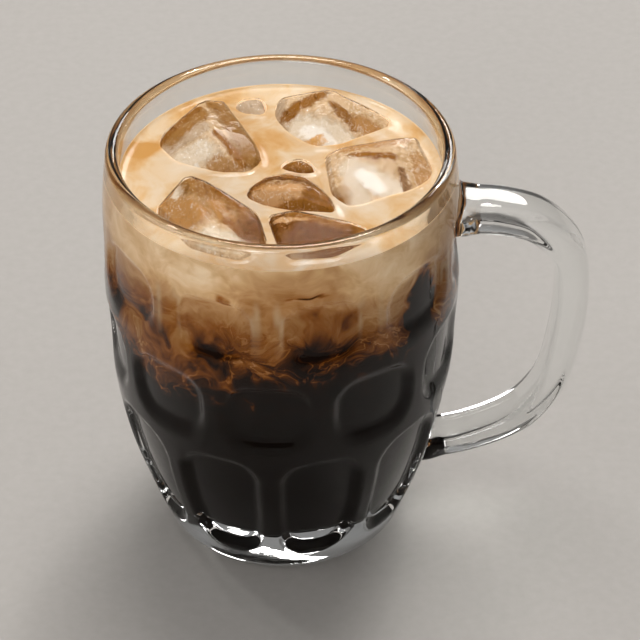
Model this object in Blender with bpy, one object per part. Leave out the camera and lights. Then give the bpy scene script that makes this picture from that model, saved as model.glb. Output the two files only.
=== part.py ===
"""Iced coffee in a dimpled glass mug: coffee below, milk above, blocks of ice on top.

The mug stands on z = 0 with its axis on the Z axis and its handle along +X. Sizes are in millimetres
and are turned into Blender's metres where the vertices are made. Angles run round the Z axis from -Y,
the front, towards +X.
"""

import math

import bmesh
import bpy
from mathutils import Matrix, Vector, noise

MM = 0.001
SHARP_ANGLE = 35.0
MERGE_DISTANCE = 0.001

# Mug: height, radius and depth sizes in millimetres
RIM_HEIGHT = 112.4
RIM_BEAD = ((111.4, 43.0), (112.1, 42.4), (RIM_HEIGHT, 41.6), (112.1, 40.8), (111.3, 40.2))
OUTER_PROFILE = (
    (0.0, 29.6), (0.5, 30.9), (1.7, 31.8), (4.5, 32.9), (8.0, 34.2), (13.5, 36.1), (20.0, 38.2),
    (28.0, 40.4), (36.0, 42.1), (45.0, 43.5), (62.0, 44.7), (79.0, 45.1), (92.0, 44.8),
    (101.0, 44.4), (107.0, 43.8), (110.0, 43.4),
)
INNER_PROFILE = (
    (12.0, 22.5), (12.5, 25.5), (14.3, 28.6), (17.8, 31.0), (23.0, 33.0), (31.0, 35.2),
    (41.0, 37.2), (55.0, 39.0), (70.0, 39.9), (88.0, 40.1), (100.0, 40.1), (110.0, 40.0),
)
FLOOR_HEIGHT = INNER_PROFILE[0][0]
BASE_RING = 15.0
FLOOR_RING = 13.0
MUG_COLUMNS = 80
OUTER_ROWS = (
    0.5, 1.7, 4.5, 7.5, 9.5, 12.0, 16.0, 22.0, 29.0, 36.0, 40.5, 43.5, 46.6, 48.4, 51.5, 55.5,
    60.5, 65.5, 69.0, 72.0, 75.0, 78.0, 82.0, 87.0, 91.0, 94.0, 97.2, 101.0, 106.0, 110.0,
)

# Dimples: three rows of ten, the middle row half a pitch round from the others. The edge is how far
# in from its outline a dimple is at its full depth, and the foot is that distance at its lower end
DIMPLES_ROUND = 10
PITCH = 360.0 / DIMPLES_ROUND
RIB_ANGLE = -5.0
DIMPLE_HALF_ANGLE = 15.6
DIMPLE_CORNER = 7.0
DIMPLE_EDGE = 2.8
DIMPLE_ROWS = (
    {"low": 7.5, "high": 46.6, "turn": 0.5, "depth": 2.1, "arch": 2.4, "foot": 4.5},
    {"low": 48.4, "high": 72.0, "turn": 0.0, "depth": 1.7, "arch": 1.6, "foot": 8.0},
    {"low": 75.0, "high": 97.2, "turn": 0.5, "depth": 1.5, "arch": 2.2, "foot": 10.0},
)

# Handle: centre line in the XZ plane, then width along Y and thickness at its two ends
HANDLE_LINE = (
    (41.3, 92.9), (48.0, 92.8), (56.0, 92.1), (65.1, 88.9), (72.4, 80.3), (74.1, 68.0),
    (72.8, 51.5), (69.8, 38.5), (62.6, 28.0), (48.5, 20.6), (33.6, 17.6),
)
HANDLE_WIDTH = (14.0, 12.0)
HANDLE_THICKNESS = (9.6, 7.2)
HANDLE_SQUARENESS = 3.0
HANDLE_STATIONS = 26
HANDLE_SIDES = 20
LINE_STEP = 0.01
FOOT_GROWTH = 1.4
FOOT_LENGTH = 5.0

# Drink: levels in millimetres, and the gap that touching pieces keep
GAP = 0.3
DRINK_COLUMNS = 40
DRINK_RADIUS = 40.0
DRINK_LEVEL = 103.5
LAYER_RINGS = (0.0, 0.45, 0.8)
COFFEE_ROWS = (0.0, 0.035, 0.09, 0.18, 0.32, 0.52, 0.75, 1.0)
LAYER_ROWS = (0.0, 0.5, 1.0)
BLEND_TOP = 86.5
BLEND_TOP_SWELL = 3.5
BLEND_BOTTOM = 71.0
BLEND_BOTTOM_SWELL = 6.0
SWELL_SCALE = 0.055
BLEND_TOP_SEED = 10.0
BLEND_BOTTOM_SEED = 40.0
MILK_SAG = 5.0
DROOP = 9.0
DROOP_ANGLE = -50.0
DROOP_SPREAD = 34.0

# Ice: each block's upper corners, some just under the drink, and how its hidden lower half narrows.
# A block reaches down by a share of its lesser width, no deeper than the limit
ICE_DEPTH_SHARE = 0.65
ICE_DEPTH_LIMIT = 16.0
ICE_TAPER = 0.9
ICE_ROUNDING = 1.1
ICE_FLAT_ANGLE = 7.0
POCKET_GROWTH = 0.45
ICE_BLOCKS = {
    "ice_back_left": (
        (-20.0, 27.0, 109.0), (-14.0, 28.5, 107.5), (-11.0, 20.0, 107.0), (-6.0, 11.5, 105.8),
        (-4.5, 5.0, 104.6), (-7.5, 0.5, 103.8), (-18.0, 12.0, 109.8), (-11.5, 3.5, 107.0),
        (-30.5, 16.5, 105.2), (-31.5, 11.0, 102.8), (-28.5, 4.0, 102.2), (-19.0, -1.0, 101.8),
    ),
    "ice_back": (
        (-12.5, 31.0, 104.6), (-9.5, 33.0, 105.6), (-4.5, 32.5, 106.2), (-3.0, 28.5, 105.4),
        (-4.0, 25.5, 103.0), (-10.5, 25.5, 102.8),
    ),
    "ice_back_right": (
        (-1.0, 30.5, 107.0), (13.0, 29.5, 110.4), (18.5, 27.0, 108.0), (29.0, 23.5, 104.8),
        (28.0, 19.5, 102.6), (17.0, 11.0, 102.4), (7.5, 9.5, 102.6), (1.5, 17.0, 103.0),
        (-1.5, 25.0, 104.4), (10.5, 21.5, 109.6), (2.5, 24.5, 107.6),
    ),
    "ice_right": (
        (10.8, 5.2, 106.6), (16.0, 4.5, 108.8), (34.0, 11.0, 108.2), (38.0, 0.5, 104.8),
        (37.5, -5.0, 102.8), (32.5, -12.0, 102.2), (24.5, -16.5, 102.0), (16.8, -17.0, 102.8),
        (12.3, -9.0, 105.2), (17.5, 0.5, 108.8), (28.5, 3.5, 108.6),
    ),
    "ice_centre": (
        (-9.5, -9.0, 104.4), (-5.0, -3.5, 105.6), (1.0, -2.0, 106.0), (6.0, -3.5, 106.0),
        (10.6, -9.0, 105.6), (12.8, -12.5, 105.0), (14.4, -18.2, 103.2), (4.5, -17.2, 102.4),
        (-4.5, -14.0, 102.4), (-7.0, -11.0, 106.4), (-1.5, -10.2, 107.8), (6.0, -11.0, 107.8),
        (11.4, -15.0, 106.0),
    ),
    "ice_centre_back": (
        (-1.0, 2.5, 104.4), (1.5, 4.5, 105.4), (6.0, 4.5, 105.6), (9.0, 2.0, 105.2),
        (9.2, 0.0, 103.6), (4.5, -0.6, 103.0), (5.5, 1.5, 106.2),
    ),
    "ice_front_left": (
        (-23.0, -9.0, 111.4), (-17.5, -11.0, 110.2), (-5.5, -19.0, 106.4), (-3.2, -30.0, 105.0),
        (-9.5, -36.5, 104.2), (-21.5, -31.0, 104.6), (-31.0, -15.5, 105.3), (-19.5, -25.0, 108.2),
    ),
    "ice_front": (
        (-3.3, -19.6, 105.8), (3.0, -19.4, 107.2), (15.0, -24.0, 106.6), (21.0, -24.0, 105.2),
        (19.5, -30.0, 104.2), (12.5, -35.5, 103.8), (2.0, -36.5, 103.8), (-0.8, -31.5, 105.4),
        (4.0, -23.5, 107.4),
    ),
}

# Finishes: linear red, green and blue, roughness, share of light let through and refractive index
GLASS_FINISH = ((0.86, 0.90, 0.89), 0.03, 1.0, 1.52)
ICE_FINISH = ((0.80, 0.76, 0.70), 0.1, 0.8, 1.31)
MILK_FINISH = ((0.62, 0.40, 0.21), 0.25, 0.0, 1.35)
BLEND_FINISH = ((0.24, 0.095, 0.028), 0.2, 0.0, 1.35)
COFFEE_FINISH = ((0.016, 0.007, 0.004), 0.15, 0.0, 1.33)


def clear_scene():
    for obj in list(bpy.data.objects):
        bpy.data.objects.remove(obj)


def make_material(name, finish):
    colour, roughness, transmission, ior = finish
    material = bpy.data.materials.new(name)
    material.use_nodes = True
    material.diffuse_color = (*colour, 1.0)
    shader = material.node_tree.nodes["Principled BSDF"]
    shader.inputs["Base Color"].default_value = (*colour, 1.0)
    shader.inputs["Roughness"].default_value = roughness
    shader.inputs["Metallic"].default_value = 0.0
    shader.inputs["Transmission Weight"].default_value = transmission
    shader.inputs["IOR"].default_value = ior
    return material


def add_object(name, bm, material):
    """Turns a bmesh in millimetres into an object in metres, smooth except at its clear edges."""
    bmesh.ops.scale(bm, vec=(MM, MM, MM), verts=bm.verts)
    bmesh.ops.recalc_face_normals(bm, faces=bm.faces)
    mesh = bpy.data.meshes.new(name)
    bm.to_mesh(mesh)
    bm.free()
    mesh.shade_smooth()
    mesh.set_sharp_from_angle(angle=math.radians(SHARP_ANGLE))
    obj = bpy.data.objects.new(name, mesh)
    bpy.context.scene.collection.objects.link(obj)
    if material:
        obj.data.materials.append(material)
    return obj


def hide_helper(obj):
    obj.hide_render = True
    obj.display_type = "WIRE"


def add_boolean(obj, operation, other):
    modifier = obj.modifiers.new(f"{operation.lower()} {other.name}", "BOOLEAN")
    modifier.operation = operation
    modifier.solver = "EXACT"
    modifier.object = other


def smooth_step(low, high, value):
    share = min(max((value - low) / (high - low), 0.0), 1.0)
    return share * share * (3.0 - 2.0 * share)


def curve_value(points, t):
    """Catmull-Rom curve through a list of tuples, with t from 0 at the first to 1 at the last."""
    place = min(max(t, 0.0), 1.0) * (len(points) - 1)
    index = min(int(place), len(points) - 2)
    share = place - index
    before = points[max(index - 1, 0)]
    start, end = points[index], points[index + 1]
    after = points[min(index + 2, len(points) - 1)]
    values = []
    for p0, p1, p2, p3 in zip(before, start, end, after):
        bend = 2.0 * p0 - 5.0 * p1 + 4.0 * p2 - p3
        twist = 3.0 * p1 - p0 - 3.0 * p2 + p3
        values.append(p1 + 0.5 * share * (p2 - p0 + share * (bend + share * twist)))
    return values


def profile_radius(profile, height):
    """Radius of a turned profile of (height, radius) pairs, straight between its points."""
    if height <= profile[0][0]:
        return profile[0][1]
    for (z0, r0), (z1, r1) in zip(profile, profile[1:]):
        if height <= z1:
            return r0 + (r1 - r0) * (height - z0) / (z1 - z0)
    return profile[-1][1]


def dimple_depth(angle, height, radius):
    """How far a dimple sinks the outer face, from 0 on a rib to its full depth inside the edge."""
    for row in DIMPLE_ROWS:
        if not row["low"] < height < row["high"]:
            continue
        centre = RIB_ANGLE + row["turn"] * PITCH
        across = (angle - centre + PITCH / 2.0) % PITCH - PITCH / 2.0
        half_width = math.radians(DIMPLE_HALF_ANGLE) * radius
        along = math.radians(across) * radius
        half_height = (row["high"] - row["low"]) / 2.0 - row["arch"] * (along / half_width) ** 2
        up = height - (row["high"] + row["low"]) / 2.0
        corner_x = abs(along) - half_width + DIMPLE_CORNER
        corner_z = abs(up) - half_height + DIMPLE_CORNER
        outside = math.hypot(max(corner_x, 0.0), max(corner_z, 0.0))
        distance = outside + min(max(corner_x, corner_z), 0.0) - DIMPLE_CORNER
        edge = DIMPLE_EDGE + (row["foot"] - DIMPLE_EDGE) * smooth_step(0.0, half_height, -up)
        return row["depth"] * smooth_step(0.0, edge, -distance)
    return 0.0


def spin_profile(bm, points, columns):
    """Turns (radius, height) points round the Z axis. The first and last lie on the axis."""
    verts = [bm.verts.new((radius, 0.0, height)) for radius, height in points]
    edges = [bm.edges.new(pair) for pair in zip(verts, verts[1:])]
    bmesh.ops.spin(
        bm,
        geom=verts + edges,
        cent=(0.0, 0.0, 0.0),
        axis=(0.0, 0.0, 1.0),
        angle=math.tau,
        steps=columns,
        use_merge=True,
        use_duplicate=False,
    )
    bmesh.ops.remove_doubles(bm, verts=bm.verts, dist=MERGE_DISTANCE)


def front_angle(x, y):
    """Angle in degrees from the front, -Y, towards +X."""
    return math.degrees(math.atan2(x, -y))


def build_mug(material):
    """The turned body with its dimples pressed in, and the handle joined to it."""
    bm = bmesh.new()
    base = [(0.0, 0.0), (BASE_RING, 0.0), (OUTER_PROFILE[0][1], 0.0)]
    outer = [(profile_radius(OUTER_PROFILE, height), height) for height in OUTER_ROWS]
    rim = [(radius, height) for height, radius in RIM_BEAD]
    inner = [(radius, height) for height, radius in reversed(INNER_PROFILE)]
    floor = [(FLOOR_RING, FLOOR_HEIGHT), (0.0, FLOOR_HEIGHT)]
    spin_profile(bm, base + outer + rim + inner + floor, MUG_COLUMNS)
    turn = Matrix.Rotation(math.radians(RIB_ANGLE), 3, "Z")
    bmesh.ops.rotate(bm, cent=(0.0, 0.0, 0.0), verts=bm.verts, matrix=turn)
    for vert in bm.verts:
        x, y, height = vert.co
        radius = math.hypot(x, y)
        wall = profile_radius(OUTER_PROFILE, height), profile_radius(INNER_PROFILE, height)
        if OUTER_ROWS[0] < height < OUTER_ROWS[-1] and radius > sum(wall) / 2.0:
            share = 1.0 - dimple_depth(front_angle(x, y), height, radius) / radius
            vert.co.x *= share
            vert.co.y *= share
    mug = add_object("mug", bm, material)
    add_boolean(mug, "UNION", build_handle())


def build_handle():
    """A bar with a rounded oblong section: a unit prism laid along the handle's centre line."""
    bm = bmesh.new()
    sides = [(1.0, float(station)) for station in range(HANDLE_STATIONS + 1)]
    spin_profile(bm, [(0.0, 0.0), *sides, (0.0, float(HANDLE_STATIONS))], HANDLE_SIDES)
    for vert in bm.verts:
        vert.co = handle_point(vert.co.x, vert.co.y, vert.co.z / HANDLE_STATIONS)
    handle = add_object("handle_bar", bm, None)
    hide_helper(handle)
    return handle


def handle_point(across, through, share):
    """A point of the handle from its place on the unit circle and its share of the length."""
    x, z = curve_value(HANDLE_LINE, share)
    ahead = curve_value(HANDLE_LINE, share + LINE_STEP)
    behind = curve_value(HANDLE_LINE, share - LINE_STEP)
    along = Vector((ahead[0] - behind[0], 0.0, ahead[1] - behind[1])).normalized()
    outward = Vector((-along.z, 0.0, along.x))
    from_wall = x - profile_radius(OUTER_PROFILE, z)
    foot = FOOT_GROWTH * (1.0 - smooth_step(0.0, FOOT_LENGTH, from_wall))
    width = HANDLE_WIDTH[0] + (HANDLE_WIDTH[1] - HANDLE_WIDTH[0]) * share + foot
    thickness = HANDLE_THICKNESS[0] + (HANDLE_THICKNESS[1] - HANDLE_THICKNESS[0]) * share + foot
    side, top = (squared(value) for value in (across, through))
    return Vector((x, side * width / 2.0, z)) + outward * top * thickness / 2.0


def squared(value):
    """Pushes a circle's coordinate outwards, so that the circle turns into a rounded oblong."""
    return math.copysign(abs(value) ** (2.0 / HANDLE_SQUARENESS), value)


def blend_top(x, y, share):
    """Where the milk ends and the mixed layer starts, lower in the middle than at the wall."""
    swell = noise.noise(Vector((x, y, BLEND_TOP_SEED)) * SWELL_SCALE)
    return BLEND_TOP + BLEND_TOP_SWELL * swell - MILK_SAG * (1.0 - share * share)


def blend_bottom(x, y, share):
    """Where the mixed layer ends and the coffee starts. It hangs down at the left of the front."""
    swell = noise.noise(Vector((x, y, BLEND_BOTTOM_SEED)) * SWELL_SCALE)
    away = (front_angle(x, y) - DROOP_ANGLE + 180.0) % 360.0 - 180.0
    droop = DROOP * share * math.exp(-((away / DROOP_SPREAD) ** 2))
    return BLEND_BOTTOM + BLEND_BOTTOM_SWELL * swell - droop


def build_layer(name, material, lower, upper, rows):
    """A layer of the drink between two height functions, kept clear of the wall by the gap."""
    bm = bmesh.new()
    bottom = [(ring, 0.0) for ring in LAYER_RINGS]
    side = [(1.0, row) for row in rows]
    top = [(ring, 1.0) for ring in reversed(LAYER_RINGS)]
    spin_profile(bm, bottom + side + top, DRINK_COLUMNS)
    for vert in bm.verts:
        share = math.hypot(vert.co.x, vert.co.y)
        x, y = vert.co.x * DRINK_RADIUS, vert.co.y * DRINK_RADIUS
        low, high = lower(x, y, share), upper(x, y, share)
        height = low + (high - low) * vert.co.z
        radius = profile_radius(INNER_PROFILE, height) - GAP
        vert.co = Vector((vert.co.x * radius, vert.co.y * radius, height))
    bmesh.ops.triangulate(bm, faces=bm.faces, quad_method="SHORT_EDGE")
    return add_object(name, bm, material)


def build_drink(coffee_material, blend_material, milk_material):
    """Three layers from the floor of the mug up to the level of the drink."""
    half_gap = GAP / 2.0
    build_layer(
        "coffee",
        coffee_material,
        lambda x, y, share: FLOOR_HEIGHT + GAP,
        lambda x, y, share: blend_bottom(x, y, share) - half_gap,
        COFFEE_ROWS,
    )
    build_layer(
        "coffee_with_milk",
        blend_material,
        lambda x, y, share: blend_bottom(x, y, share) + half_gap,
        lambda x, y, share: blend_top(x, y, share) - half_gap,
        LAYER_ROWS,
    )
    return build_layer(
        "milk",
        milk_material,
        lambda x, y, share: blend_top(x, y, share) + half_gap,
        lambda x, y, share: DRINK_LEVEL,
        LAYER_ROWS,
    )


def build_ice_block(name, corners, material, growth=0.0):
    """A block of ice: the hull of its upper corners and of the same corners lower down, rounded."""
    bm = bmesh.new()
    middle = sum((Vector(corner) for corner in corners), Vector()) / len(corners)
    widths = [max(values) - min(values) for values in list(zip(*corners))[:2]]
    bottom = DRINK_LEVEL - min(ICE_DEPTH_SHARE * min(widths), ICE_DEPTH_LIMIT)
    for x, y, z in corners:
        bm.verts.new((x, y, z))
        low_x = middle.x + ICE_TAPER * (x - middle.x)
        low_y = middle.y + ICE_TAPER * (y - middle.y)
        bm.verts.new((low_x, low_y, bottom))
    hull = bmesh.ops.convex_hull(bm, input=bm.verts, use_existing_faces=False)
    loose = set(hull["geom_interior"] + hull["geom_unused"])
    spare = [item for item in loose if isinstance(item, bmesh.types.BMVert)]
    bmesh.ops.delete(bm, geom=spare, context="VERTS")
    bmesh.ops.dissolve_limit(
        bm, angle_limit=math.radians(ICE_FLAT_ANGLE), verts=bm.verts, edges=bm.edges
    )
    bmesh.ops.recalc_face_normals(bm, faces=bm.faces)
    bm.normal_update()
    if growth:
        moved = [(vert, vert.co + vert.normal * growth) for vert in bm.verts]
        for vert, place in moved:
            vert.co = place
    bmesh.ops.bevel(
        bm,
        geom=list(bm.edges),
        offset=ICE_ROUNDING,
        offset_type="OFFSET",
        segments=1,
        profile=0.5,
        affect="EDGES",
        clamp_overlap=True,
    )
    return add_object(name, bm, material)


def build_ice(material, milk):
    """The blocks that stand out of the drink, each with a pocket for it in the milk."""
    for name, corners in ICE_BLOCKS.items():
        build_ice_block(name, corners, material)
        pocket = build_ice_block(f"pocket_of_{name}", corners, None, POCKET_GROWTH)
        hide_helper(pocket)
        add_boolean(milk, "DIFFERENCE", pocket)


def main():
    clear_scene()
    build_mug(make_material("clear glass", GLASS_FINISH))
    milk = build_drink(
        make_material("black coffee", COFFEE_FINISH),
        make_material("coffee with milk", BLEND_FINISH),
        make_material("milk", MILK_FINISH),
    )
    build_ice(make_material("ice", ICE_FINISH), milk)


main()
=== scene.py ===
"""Looks of an iced coffee: a pressed glass mug with dimples, a marbled drink and melting blocks of ice.

Shapes are worked out in millimetres and turned into metres as each piece is finished. Angles run round
the Z axis from -Y, the front, towards +X.
"""

import math
import random

import bmesh
import bpy
from mathutils import Matrix, Vector, noise
from mathutils.bvhtree import BVHTree


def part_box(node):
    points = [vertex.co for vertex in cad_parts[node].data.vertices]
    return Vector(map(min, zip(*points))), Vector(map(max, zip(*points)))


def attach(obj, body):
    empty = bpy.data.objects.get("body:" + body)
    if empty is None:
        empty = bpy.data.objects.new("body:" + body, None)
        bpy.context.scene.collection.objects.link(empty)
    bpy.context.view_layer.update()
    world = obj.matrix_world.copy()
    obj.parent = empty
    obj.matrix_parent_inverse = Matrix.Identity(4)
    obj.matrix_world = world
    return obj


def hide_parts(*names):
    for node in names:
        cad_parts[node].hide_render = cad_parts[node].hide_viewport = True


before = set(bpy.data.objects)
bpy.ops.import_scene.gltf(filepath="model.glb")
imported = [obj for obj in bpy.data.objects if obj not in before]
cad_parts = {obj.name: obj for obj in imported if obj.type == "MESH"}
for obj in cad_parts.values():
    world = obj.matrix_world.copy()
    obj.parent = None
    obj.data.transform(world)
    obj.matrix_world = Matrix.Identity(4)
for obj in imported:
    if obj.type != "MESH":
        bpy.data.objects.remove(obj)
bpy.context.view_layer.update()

MM = 0.001

# Mug: radii and heights of its section, as in the frame, and how finely it is turned
BASE_RADIUS = 29.6
OUTER_PROFILE = (
    (29.6, 0.0), (30.9, 0.5), (31.8, 1.7), (32.9, 4.5), (34.2, 8.0), (36.1, 13.5), (38.2, 20.0),
    (40.4, 28.0), (42.1, 36.0), (43.5, 45.0), (44.7, 62.0), (45.1, 79.0), (44.8, 92.0),
    (44.4, 101.0), (43.8, 107.0), (43.4, 110.0),
)
INNER_PROFILE = (
    (40.0, 110.4), (40.1, 100.0), (40.1, 88.0), (39.9, 70.0), (39.0, 55.0), (37.2, 41.0),
    (35.2, 31.0), (33.0, 23.0), (31.0, 17.8), (28.6, 14.3), (25.5, 12.5), (22.5, 12.0),
)
RIM_CENTRE = (41.65, 110.7)
RIM_RADIUS = 1.68
RIM_STEPS = 14
FLOOR_HEIGHT = 12.0
MUG_COLUMNS = 300
OUTER_STEP = 0.9
INNER_STEP = 1.5
# Where glass covers the drink: between these heights and, short of the handle, within this radius
COVER_HEIGHTS = (9.0, 106.5)
COVER_RADIUS = 46.5
GLASS_MIRROR_OVER_DRINK = 0.35

# Dimples: three rows of ten, the middle row half a pitch round from the others
PITCH = 36.0
RIB_ANGLE = -5.0
DIMPLE_HALF_ANGLE = 15.6
DIMPLE_CORNER = 7.0
DIMPLE_EDGE = 2.8
DIMPLE_ROWS = (
    {"low": 7.5, "high": 46.6, "turn": 0.5, "depth": 2.1, "arch": 2.4, "foot": 4.5},
    {"low": 48.4, "high": 72.0, "turn": 0.0, "depth": 1.7, "arch": 1.6, "foot": 8.0},
    {"low": 75.0, "high": 97.2, "turn": 0.5, "depth": 1.5, "arch": 2.2, "foot": 10.0},
)

# Handle: centre line in the XZ plane, then width along Y and thickness at its two ends
HANDLE_LINE = (
    (41.3, 92.9), (48.0, 92.8), (56.0, 92.1), (65.1, 88.9), (72.4, 80.3), (74.1, 68.0),
    (72.8, 51.5), (69.8, 38.5), (62.6, 28.0), (48.5, 20.6), (33.6, 17.6),
)
HANDLE_WIDTH = (14.0, 12.0)
HANDLE_THICKNESS = (9.6, 7.2)
HANDLE_SQUARENESS = 3.2
HANDLE_STATIONS = 130
HANDLE_SIDES = 56
# How much thicker its feet are at the wall, and over what length they grow
FOOT_GROWTH = 1.4
FOOT_LENGTH = 5.0
# Seams at its feet: least crease, where they lie (x from, |y| and z up to), and how far they are rounded
SEAM_ANGLE = 0.35
SEAM_PLACE = (36.0, 12.0, 106.0)
SEAM_RINGS = 3
SEAM_PASSES = 14

# Drink: how far each piece reaches into the glass, and the levels and swells of the layers
REACH = 0.1
LAYER_LAP = 0.04
DRINK_COLUMNS = 160
RING_CROWDING = 1.6
DRINK_RADIUS = 40.0
DRINK_LEVEL = 103.5
BLEND_TOP = 86.5
BLEND_TOP_SWELL = 3.5
BLEND_BOTTOM = 71.0
BLEND_BOTTOM_SWELL = 6.0
SWELL_SCALE = 0.055
LAYER_CREASE = 50.0
MILK_SAG = 5.0
MILK_SWELL = 0.25
MILK_SWELL_SCALE = 0.09
DROOP = 9.0
DROOP_ANGLE = -50.0
DROOP_SPREAD = 34.0
# How far the surface is drawn up at the wall and at the ice, and how wide that is
MENISCUS_RISE = 1.1
MENISCUS_WIDTH = 1.143
ICE_MENISCUS_RISE = 0.6
ICE_MENISCUS_WIDTH = 1.0
# Shades of the drink by level in the marbling, of its open surface and of the hollows under the ice
LEVEL_RANGE = (60.0, 110.0)
# The shades darken with level partly for the coffee below the cream and partly as painted shade, where less
# light reaches deep in the drink.
DRINK_SHADES = (
    (0.0, (0.004, 0.002, 0.001)), (0.22, (0.010, 0.004, 0.002)), (0.30, (0.05, 0.014, 0.002)),
    (0.38, (0.15, 0.042, 0.004)), (0.46, (0.26, 0.088, 0.013)), (0.53, (0.32, 0.135, 0.034)),
    (0.60, (0.40, 0.195, 0.068)), (0.69, (0.49, 0.275, 0.12)), (0.78, (0.59, 0.36, 0.17)),
    (0.85, (0.67, 0.44, 0.235)), (0.92, (0.76, 0.54, 0.32)), (1.0, (0.85, 0.66, 0.45)),
)
SURFACE_SHADES = (
    (0.25, (0.56, 0.28, 0.08)), (0.40, (0.64, 0.385, 0.17)), (0.55, (0.69, 0.50, 0.31)),
    (0.7, (0.72, 0.57, 0.41)), (0.9, (0.77, 0.67, 0.54)),
)
HOLLOW_SHADES = (
    (0.0, (0.30, 0.13, 0.035)), (0.3, (0.46, 0.25, 0.10)), (0.6, (0.68, 0.46, 0.25)),
    (0.9, (0.80, 0.64, 0.45)), (1.0, (0.84, 0.70, 0.52)),
)
# Stains in the marbling: turn from the front, height, half size, softness and shift of level
STAINS = (
    (37.0, 99.5, (10.0, 10.0, 4.5), 0.9, 6.0),
    (40.0, 91.0, (8.0, 8.0, 5.0), 0.9, 6.0),
    (3.0, 100.0, (15.0, 15.0, 6.0), 0.7, -7.0),
    (54.0, 82.0, (5.5, 5.5, 11.0), 0.25, -21.0),
    (-44.0, 69.0, (18.0, 18.0, 11.0), 0.6, 10.0),
    (11.0, 77.5, (8.0, 8.0, 5.0), 0.9, -7.0),
    (-22.0, 78.5, (7.0, 7.0, 5.0), 0.9, -7.0),
    (-19.0, 94.5, (1.3, 1.3, 1.2), 0.5, -17.0),
    (9.0, 95.5, (3.6, 3.6, 0.6), 0.5, -14.0),
    (25.0, 89.0, (3.5, 3.5, 2.5), 0.5, -7.0),
    (-28.0, 96.5, (9.0, 9.0, 5.0), 0.9, 7.0),
    (-44.0, 95.0, (8.0, 8.0, 5.0), 0.9, 4.0),
    (21.0, 96.5, (6.0, 6.0, 4.0), 0.9, 4.5),
    (28.0, 85.5, (5.0, 5.0, 4.0), 0.7, 4.0),
)
# Patches of the milk's surface: place (x, y), radius and shift, down for amber and up for cream
TOP_PATCHES = (
    (-34.0, 8.5, 5.5, -0.48), (-5.0, 11.0, 6.0, -0.26), (-33.0, -7.0, 7.0, 0.12),
    (-12.0, -3.0, 6.0, 0.10), (16.0, -12.0, 8.0, 0.08), (30.0, -18.0, 9.0, 0.08),
    (-3.0, 36.0, 7.0, 0.06), (-24.0, 28.0, 6.0, -0.08),
)
# Painted light in pale lines beside the ribs: degrees from a dimple's middle, half width in degrees,
# strength and colour
RIB_GLOW_ANGLE = 14.6
RIB_GLOW_WIDTH = 2.0
RIB_GLOW_STRENGTH = 0.8
RIB_GLOW_COLOUR = (0.50, 0.34, 0.19)

# Ice: the size of its remeshed faces, its melted waves and the haze and bubbles in it
ICE_NODES = (
    "ice_back_left", "ice_back", "ice_back_right", "ice_right", "ice_centre", "ice_centre_back",
    "ice_front_left", "ice_front",
)
ICE_VOXEL = 0.33
ICE_PASSES = 1
ICE_GROWTH = 0.16
ICE_WAVE = 0.12
ICE_WAVE_SCALE = 0.13
ICE_RIPPLE = 0.07
ICE_RIPPLE_SCALE = 0.45
POCKET_SHARE = 0.12
POCKET_SHRINK = 0.2
HAZE_DEPTH = 0.8
HAZE_SHARE = 0.3
HAZE_COLOURS = ((0.43, 0.27, 0.13), (0.60, 0.44, 0.285))
HAZE_RAGGEDNESS = 4.2
BUBBLES_PER_BLOCK = 60
BUBBLE_SEED = 11
BUBBLE_LEVEL = 100.0
BUBBLE_DEPTH = (0.7, 3.5)
BUBBLE_RADIUS = 0.07
BUBBLE_SPREAD = 0.22
BUBBLE_STRETCH = (1.0, 2.0)
# Painted light: how strongly the hollows under the ice glow in their own colour
PAINTED_UNDER_ICE_GLOW = 0.75
# The two palest tints are partly frost and partly painted highlight: the lamps' sheen on the ice's faces.
ICE_TINTS = {
    "deep": (0.12, 0.042, 0.006), "brown": (0.20, 0.082, 0.014), "umber": (0.23, 0.112, 0.030),
    "tan": (0.34, 0.17, 0.055), "beige": (0.40, 0.225, 0.10), "amber": (0.50, 0.25, 0.06),
    "grey": (0.38, 0.28, 0.19), "frost_and_painted_sheen": (0.55, 0.46, 0.355), "frost_and_painted_glint": (0.68, 0.635, 0.58),
}
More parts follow.
